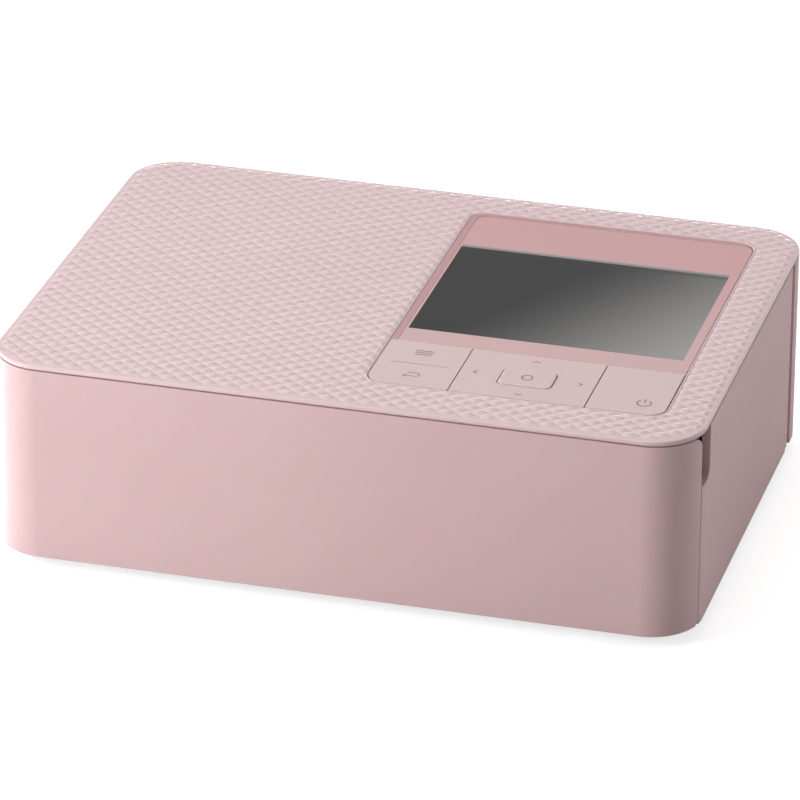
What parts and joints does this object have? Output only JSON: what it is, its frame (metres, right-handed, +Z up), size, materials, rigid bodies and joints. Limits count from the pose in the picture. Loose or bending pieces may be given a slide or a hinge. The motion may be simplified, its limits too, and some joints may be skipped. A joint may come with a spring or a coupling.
{
  "type": "compact photo printer",
  "caption": "Low boxy photo printer with a textured lid, colour screen and keys, a fold-down front cover and a side door.",
  "frame": {"origin": "centre of the footprint, on the surface that the printer stands on", "axes": "+X right, -Y front with the fold-down cover, +Z up"},
  "size_m": [0.1822, 0.133, 0.0576],
  "materials": {
    "shell": "satin pink moulded plastic, fine diamond texture on the lid",
    "panel": "smooth pink key plastic",
    "lens": "glossy pink window, clear over the screen",
    "grey_plastic": "moulded structural plastic",
    "dark_plastic": "moulded black plastic",
    "clear_sheet": "silicone dome sheet",
    "circuit_board": "solder-masked laminate",
    "rubber_feet": "soft rubber",
    "roller_rubber": "ground rubber",
    "steel": "turned or plated steel",
    "sheet_steel": "zinc-plated sheet steel",
    "gear_plastic": "moulded acetal",
    "heat_sink": "extruded aluminium",
    "film": "thin dye film"
  },
  "bodies": {
    "root": {"base_pan": "grey_plastic", "foot_pads": "rubber_feet", "casing": "shell", "top_lid": "shell", "panel_tray": "panel", "display_window": "lens", "lcd_module": "dark_plastic", "control_board": "circuit_board", "key_dome_sheet": "clear_sheet", "cover_hinge_pins": "steel", "door_hinge_pins": "steel", "feed_frame": "grey_plastic", "side_frame": "grey_plastic", "left_plate": "sheet_steel", "right_plate": "sheet_steel", "tie_bars": "steel", "paper_guide": "dark_plastic", "main_board": "circuit_board", "card_socket": "steel", "usb_socket": "steel", "power_inlet": "dark_plastic", "fan_housing": "dark_plastic", "motor_bracket": "sheet_steel", "feed_motor": "steel", "ribbon_motor": "steel", "cassette_case": "dark_plastic", "ink_ribbon": "film", "head_pivot": "steel", "case_screws": "steel", "board_screws": "steel"},
    "front_cover": {"front_cover": "shell"},
    "ink_door": {"ink_door": "shell"},
    "menu_key": {"menu_key": "panel"},
    "pad_gimbal": {"pad_gimbal": "grey_plastic"},
    "nav_pad": {"nav_pad": "panel"},
    "ok_key": {"ok_key": "panel"},
    "power_key": {"power_key": "panel"},
    "feed_roller": {"feed_roller": "steel", "feed_gear": "gear_plastic"},
    "feed_pinion": {"feed_pinion": "gear_plastic"},
    "pinch_roller": {"pinch_roller": "steel"},
    "platen_roller": {"platen_roller": "roller_rubber"},
    "takeup_spool": {"takeup_spool": "dark_plastic", "takeup_gear": "gear_plastic"},
    "supply_spool": {"supply_spool": "dark_plastic"},
    "ribbon_pinion": {"ribbon_pinion": "gear_plastic"},
    "idler_gear": {"idler_gear": "gear_plastic"},
    "pickup_roller": {"pickup_shaft": "steel", "pickup_tyres": "roller_rubber", "pickup_gear": "gear_plastic"},
    "print_head": {"head_arm": "sheet_steel", "thermal_head": "heat_sink"},
    "fan_rotor": {"fan_rotor": "dark_plastic"}
  },
  "joints": [
    {"name": "cover_hinge", "type": "hinge", "parent": "root", "child": "front_cover", "pos_m": [0, -0.0632, 0.0054], "axis": [1, 0, 0], "range_deg": [0, 90]},
    {"name": "door_hinge", "type": "hinge", "parent": "root", "child": "ink_door", "pos_m": [0.0877, 0.0461, 0.03], "axis": [0, 0, 1], "range_deg": [0, 90]},
    {"name": "menu_rocker", "type": "hinge", "parent": "root", "child": "menu_key", "pos_m": [0.014, -0.03975, 0.05495], "axis": [1, 0, 0], "range_deg": [-1.6, 1.6], "stiffness_Nm_per_rad": 0.4},
    {"name": "pad_tilt_front", "type": "hinge", "parent": "root", "child": "pad_gimbal", "pos_m": [0.04235, -0.0404, 0.05495], "axis": [1, 0, 0], "range_deg": [-1.4, 1.4], "stiffness_Nm_per_rad": 0.4},
    {"name": "pad_tilt_side", "type": "hinge", "parent": "pad_gimbal", "child": "nav_pad", "pos_m": [0.04235, -0.0404, 0.05495], "axis": [0, 1, 0], "range_deg": [-1.4, 1.4], "stiffness_Nm_per_rad": 0.4},
    {"name": "ok_press", "type": "slide", "parent": "root", "child": "ok_key", "axis": [0, 0, -1], "range_m": [0, 0.0004], "stiffness_N_per_m": 2500},
    {"name": "power_press", "type": "slide", "parent": "root", "child": "power_key", "axis": [0, 0, -1], "range_m": [0, 0.0004], "stiffness_N_per_m": 2500},
    {"name": "feed_spin", "type": "hinge", "parent": "root", "child": "feed_roller", "pos_m": [0, 0.0225, 0.016], "axis": [1, 0, 0], "continuous": true},
    {"name": "feed_pinion_spin", "type": "hinge", "parent": "root", "child": "feed_pinion", "pos_m": [-0.063, 0.0377, 0.016], "axis": [1, 0, 0], "continuous": true},
    {"name": "pinch_spin", "type": "hinge", "parent": "root", "child": "pinch_roller", "pos_m": [0, 0.0225, 0.0225], "axis": [1, 0, 0], "continuous": true},
    {"name": "platen_spin", "type": "hinge", "parent": "root", "child": "platen_roller", "pos_m": [0, 0.01, 0.0145], "axis": [1, 0, 0], "continuous": true},
    {"name": "takeup_spin", "type": "hinge", "parent": "root", "child": "takeup_spool", "pos_m": [0, -0.01, 0.035], "axis": [1, 0, 0], "continuous": true},
    {"name": "supply_spin", "type": "hinge", "parent": "root", "child": "supply_spool", "pos_m": [0, 0.03, 0.035], "axis": [1, 0, 0], "continuous": true},
    {"name": "ribbon_pinion_spin", "type": "hinge", "parent": "root", "child": "ribbon_pinion", "pos_m": [-0.063, -0.01, 0.0206], "axis": [1, 0, 0], "continuous": true},
    {"name": "idler_spin", "type": "hinge", "parent": "root", "child": "idler_gear", "pos_m": [-0.063, -0.02913, 0.03664], "axis": [1, 0, 0], "continuous": true},
    {"name": "pickup_spin", "type": "hinge", "parent": "root", "child": "pickup_roller", "pos_m": [0, -0.04507, 0.038], "axis": [1, 0, 0], "continuous": true},
    {"name": "head_press", "type": "hinge", "parent": "root", "child": "print_head", "pos_m": [0, 0.05, 0.043], "axis": [1, 0, 0], "range_deg": [0, 3.6]},
    {"name": "fan_spin", "type": "hinge", "parent": "root", "child": "fan_rotor", "pos_m": [0.064, 0.06, 0.026], "axis": [0, 1, 0], "continuous": true}
  ],
  "couplings": [
    {"joint": "feed_pinion_spin", "follows": "feed_spin", "ratio": -2.1667},
    {"joint": "pinch_spin", "follows": "feed_spin", "ratio": -1.8182},
    {"joint": "ribbon_pinion_spin", "follows": "takeup_spin", "ratio": -2},
    {"joint": "idler_spin", "follows": "takeup_spin", "ratio": -1},
    {"joint": "pickup_spin", "follows": "takeup_spin", "ratio": 1.5}
  ]
}
